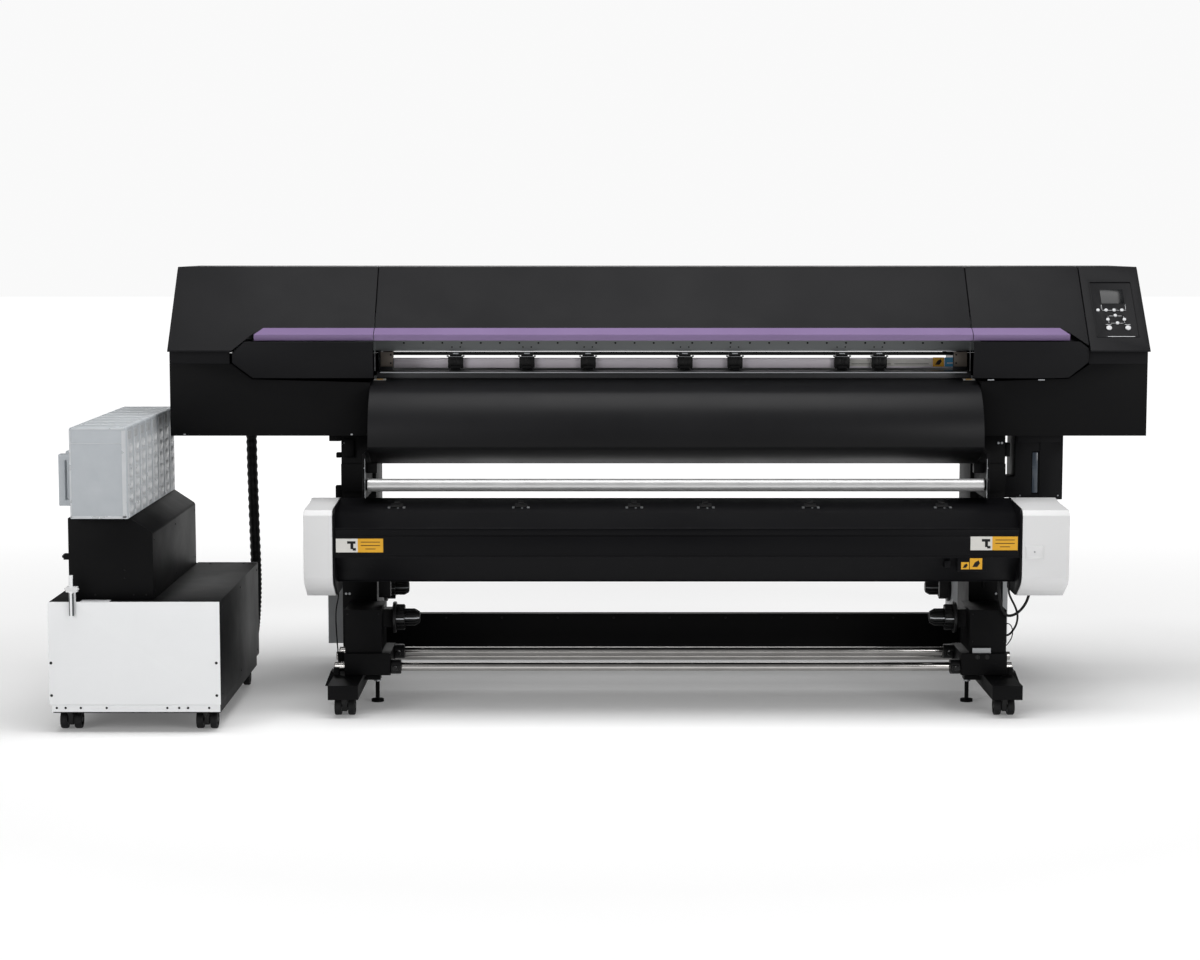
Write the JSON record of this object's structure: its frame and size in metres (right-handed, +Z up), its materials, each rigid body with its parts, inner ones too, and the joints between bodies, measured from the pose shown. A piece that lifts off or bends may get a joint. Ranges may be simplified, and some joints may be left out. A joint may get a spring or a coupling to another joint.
{
  "type": "wide-format printer cutter",
  "caption": "Roll-to-roll inkjet printer cutter on a wheeled stand, with dryer, take-up unit and bulk-ink cart.",
  "frame": {"origin": "on the floor, under the middle of the outline of machine and cart together", "axes": "+X to the operator's right along the machine, +Y from the operator's side to the back, +Z up"},
  "size_m": [3.044, 1.194, 1.246],
  "materials": {
    "hood_black": "fine-textured moulded skin",
    "lower_cover_black": "fine-textured powder coat",
    "trim_purple": "satin",
    "frame_black": "powder coat",
    "beam_grey": "satin",
    "platen_aluminium": "anodised",
    "apron_black": "satin heat-resistant coat",
    "roller_aluminium": "brushed",
    "bright_pipe": "polished",
    "dryer_black": "semi-gloss coat",
    "cap_white": "fine texture",
    "cabinet_black": "powder coat",
    "panel_white": "powder coat",
    "housing_grey": "powder coat",
    "tray_clear": "frosted translucent",
    "key_grey": "satin",
    "display_glass": "polished",
    "carriage_black": "fine texture",
    "holder_steel": "turned",
    "grit_steel": "grit blasted",
    "pinch_rubber": "matt",
    "chuck_black": "satin",
    "caster_black": "satin",
    "cable_black": "satin",
    "tank_black": "satin"
  },
  "bodies": {
    "root": {"left_leg": "frame_black", "right_leg": "frame_black", "cross_beam": "frame_black", "takeup_rails": "bright_pipe", "main_beam": "beam_grey", "rear_cover": "hood_black", "left_lower_cover": "lower_cover_black", "right_lower_cover": "lower_cover_black", "left_hood": "hood_black", "right_hood": "hood_black", "trim_strips": "trim_purple", "platen": "platen_aluminium", "apron": "apron_black", "control_panel": "hood_black", "display_window": "display_glass", "dryer_housing": "dryer_black", "dryer_end_caps": "cap_white", "takeup_right_unit": "frame_black", "waste_ink_tank": "tank_black", "supply_unit": "housing_grey", "cart_cabinet": "cabinet_black", "cart_front_panel": "panel_white", "ink_housing": "cabinet_black", "takeup_leads": "cable_black", "ink_tube": "cable_black"},
    "front_cover": {"front_cover": "hood_black", "front_cover_trim": "trim_purple"},
    "left_maintenance_cover": {"left_maintenance_cover": "hood_black"},
    "right_maintenance_cover": {"right_maintenance_cover": "hood_black"},
    "print_carriage": {"print_carriage": "carriage_black"},
    "cutter_carriage": {"cutter_carriage": "carriage_black"},
    "cutter_holder": {"cutter_holder": "holder_steel"},
    "pinch_arms": {"pinch_arms": "carriage_black"},
    "pinch_rollers": {"pinch_rollers": "pinch_rubber"},
    "grit_rollers": {"grit_rollers": "grit_steel"},
    "guide_roller": {"guide_roller": "roller_aluminium"},
    "takeup_left_unit": {"takeup_left_unit": "frame_black"},
    "takeup_left_chuck": {"takeup_left_chuck": "chuck_black"},
    "takeup_right_chuck": {"takeup_right_chuck": "chuck_black"},
    "supply_chucks": {"supply_chucks": "chuck_black"},
    "ink_tray_1": {"ink_tray_1": "tray_clear"},
    "ink_tray_2": {"ink_tray_2": "tray_clear"},
    "ink_tray_3": {"ink_tray_3": "tray_clear"},
    "ink_tray_4": {"ink_tray_4": "tray_clear"},
    "ink_tray_5": {"ink_tray_5": "tray_clear"},
    "ink_tray_6": {"ink_tray_6": "tray_clear"},
    "ink_tray_7": {"ink_tray_7": "tray_clear"},
    "ink_tray_8": {"ink_tray_8": "tray_clear"},
    "menu_keys": {"menu_keys": "key_grey"},
    "command_keys": {"command_keys": "key_grey"},
    "printer_left_caster": {"printer_left_caster": "caster_black"},
    "printer_left_wheels": {"printer_left_wheels": "caster_black"},
    "printer_right_caster": {"printer_right_caster": "caster_black"},
    "printer_right_wheels": {"printer_right_wheels": "caster_black"},
    "cart_left_caster": {"cart_left_caster": "caster_black"},
    "cart_left_wheels": {"cart_left_wheels": "caster_black"},
    "cart_right_caster": {"cart_right_caster": "caster_black"},
    "cart_right_wheels": {"cart_right_wheels": "caster_black"},
    "printer_rear_wheels": {"printer_rear_wheels": "caster_black"},
    "cart_rear_wheels": {"cart_rear_wheels": "caster_black"}
  },
  "joints": [
    {"name": "front_cover_hinge", "type": "hinge", "parent": "root", "child": "front_cover", "pos_m": [0.178, 0.062, 1.246], "axis": [-1, 0, 0], "range_deg": [0, 75]},
    {"name": "left_maintenance_hinge", "type": "hinge", "parent": "root", "child": "left_maintenance_cover", "pos_m": [-0.877, -0.154, 0.934], "axis": [1, 0, 0], "range_deg": [0, 80]},
    {"name": "right_maintenance_hinge", "type": "hinge", "parent": "root", "child": "right_maintenance_cover", "pos_m": [1.187, -0.154, 0.934], "axis": [1, 0, 0], "range_deg": [0, 80]},
    {"name": "print_carriage_travel", "type": "slide", "parent": "root", "child": "print_carriage", "axis": [1, 0, 0], "range_m": [-1.9, 0]},
    {"name": "cutter_carriage_travel", "type": "slide", "parent": "root", "child": "cutter_carriage", "axis": [1, 0, 0], "range_m": [0, 1.9]},
    {"name": "cutter_drop", "type": "slide", "parent": "cutter_carriage", "child": "cutter_holder", "axis": [0, 0, -1], "range_m": [0, 0.004], "stiffness_N_per_m": 900, "springref_m": -0.003},
    {"name": "pinch_lift", "type": "hinge", "parent": "root", "child": "pinch_arms", "pos_m": [0.178, 0.052, 0.994], "axis": [-1, 0, 0], "range_deg": [0, 10]},
    {"name": "pinch_spin", "type": "hinge", "parent": "pinch_arms", "child": "pinch_rollers", "pos_m": [0.178, 0.016, 0.956], "axis": [1, 0, 0], "continuous": true},
    {"name": "media_feed", "type": "hinge", "parent": "root", "child": "grit_rollers", "pos_m": [0.178, 0.016, 0.9384], "axis": [1, 0, 0], "continuous": true},
    {"name": "guide_roller_spin", "type": "hinge", "parent": "root", "child": "guide_roller", "pos_m": [0.178, -0.255, 0.64], "axis": [1, 0, 0], "continuous": true},
    {"name": "takeup_left_slide", "type": "slide", "parent": "root", "child": "takeup_left_unit", "axis": [1, 0, 0], "range_m": [0, 0.9]},
    {"name": "takeup_left_spin", "type": "hinge", "parent": "takeup_left_unit", "child": "takeup_left_chuck", "pos_m": [-0.6285, -0.125, 0.245], "axis": [1, 0, 0], "continuous": true},
    {"name": "takeup_right_spin", "type": "hinge", "parent": "root", "child": "takeup_right_chuck", "pos_m": [0.9895, -0.125, 0.245], "axis": [1, 0, 0], "continuous": true},
    {"name": "supply_spin", "type": "hinge", "parent": "root", "child": "supply_chucks", "pos_m": [0.178, 0.51, 0.24], "axis": [1, 0, 0], "continuous": true},
    {"name": "ink_tray_1_pull", "type": "slide", "parent": "root", "child": "ink_tray_1", "axis": [-1, 0, 0], "range_m": [0, 0.2]},
    {"name": "ink_tray_2_pull", "type": "slide", "parent": "root", "child": "ink_tray_2", "axis": [-1, 0, 0], "range_m": [0, 0.2]},
    {"name": "ink_tray_3_pull", "type": "slide", "parent": "root", "child": "ink_tray_3", "axis": [-1, 0, 0], "range_m": [0, 0.2]},
    {"name": "ink_tray_4_pull", "type": "slide", "parent": "root", "child": "ink_tray_4", "axis": [-1, 0, 0], "range_m": [0, 0.2]},
    {"name": "ink_tray_5_pull", "type": "slide", "parent": "root", "child": "ink_tray_5", "axis": [-1, 0, 0], "range_m": [0, 0.2]},
    {"name": "ink_tray_6_pull", "type": "slide", "parent": "root", "child": "ink_tray_6", "axis": [-1, 0, 0], "range_m": [0, 0.2]},
    {"name": "ink_tray_7_pull", "type": "slide", "parent": "root", "child": "ink_tray_7", "axis": [-1, 0, 0], "range_m": [0, 0.2]},
    {"name": "ink_tray_8_pull", "type": "slide", "parent": "root", "child": "ink_tray_8", "axis": [-1, 0, 0], "range_m": [0, 0.2]},
    {"name": "menu_keys_press", "type": "slide", "parent": "root", "child": "menu_keys", "axis": [0, 0.7413, -0.6711], "range_m": [0, 0.001], "stiffness_N_per_m": 800, "springref_m": -0.0005},
    {"name": "command_keys_press", "type": "slide", "parent": "root", "child": "command_keys", "axis": [0, 0.7413, -0.6711], "range_m": [0, 0.001], "stiffness_N_per_m": 800, "springref_m": -0.0005},
    {"name": "printer_left_caster_swivel", "type": "hinge", "parent": "root", "child": "printer_left_caster", "pos_m": [-0.749, -0.345, 0.052], "axis": [0, 0, 1], "continuous": true},
    {"name": "printer_left_wheels_roll", "type": "hinge", "parent": "printer_left_caster", "child": "printer_left_wheels", "pos_m": [-0.749, -0.327, 0.025], "axis": [1, 0, 0], "continuous": true},
    {"name": "printer_right_caster_swivel", "type": "hinge", "parent": "root", "child": "printer_right_caster", "pos_m": [1.097, -0.345, 0.052], "axis": [0, 0, 1], "continuous": true},
    {"name": "printer_right_wheels_roll", "type": "hinge", "parent": "printer_right_caster", "child": "printer_right_wheels", "pos_m": [1.097, -0.327, 0.025], "axis": [1, 0, 0], "continuous": true},
    {"name": "cart_left_caster_swivel", "type": "hinge", "parent": "root", "child": "cart_left_caster", "pos_m": [-1.476, -0.533, 0.052], "axis": [0, 0, 1], "continuous": true},
    {"name": "cart_left_wheels_roll", "type": "hinge", "parent": "cart_left_caster", "child": "cart_left_wheels", "pos_m": [-1.476, -0.515, 0.025], "axis": [1, 0, 0], "continuous": true},
    {"name": "cart_right_caster_swivel", "type": "hinge", "parent": "root", "child": "cart_right_caster", "pos_m": [-1.106, -0.533, 0.052], "axis": [0, 0, 1], "continuous": true},
    {"name": "cart_right_wheels_roll", "type": "hinge", "parent": "cart_right_caster", "child": "cart_right_wheels", "pos_m": [-1.106, -0.515, 0.025], "axis": [1, 0, 0], "continuous": true},
    {"name": "printer_rear_wheels_roll", "type": "hinge", "parent": "root", "child": "printer_rear_wheels", "pos_m": [0.178, 0.393, 0.025], "axis": [1, 0, 0], "continuous": true},
    {"name": "cart_rear_wheels_roll", "type": "hinge", "parent": "root", "child": "cart_rear_wheels", "pos_m": [-1.291, 0.13, 0.025], "axis": [1, 0, 0], "continuous": true}
  ],
  "couplings": [
    {"joint": "pinch_spin", "follows": "media_feed", "ratio": -1.4286}
  ]
}
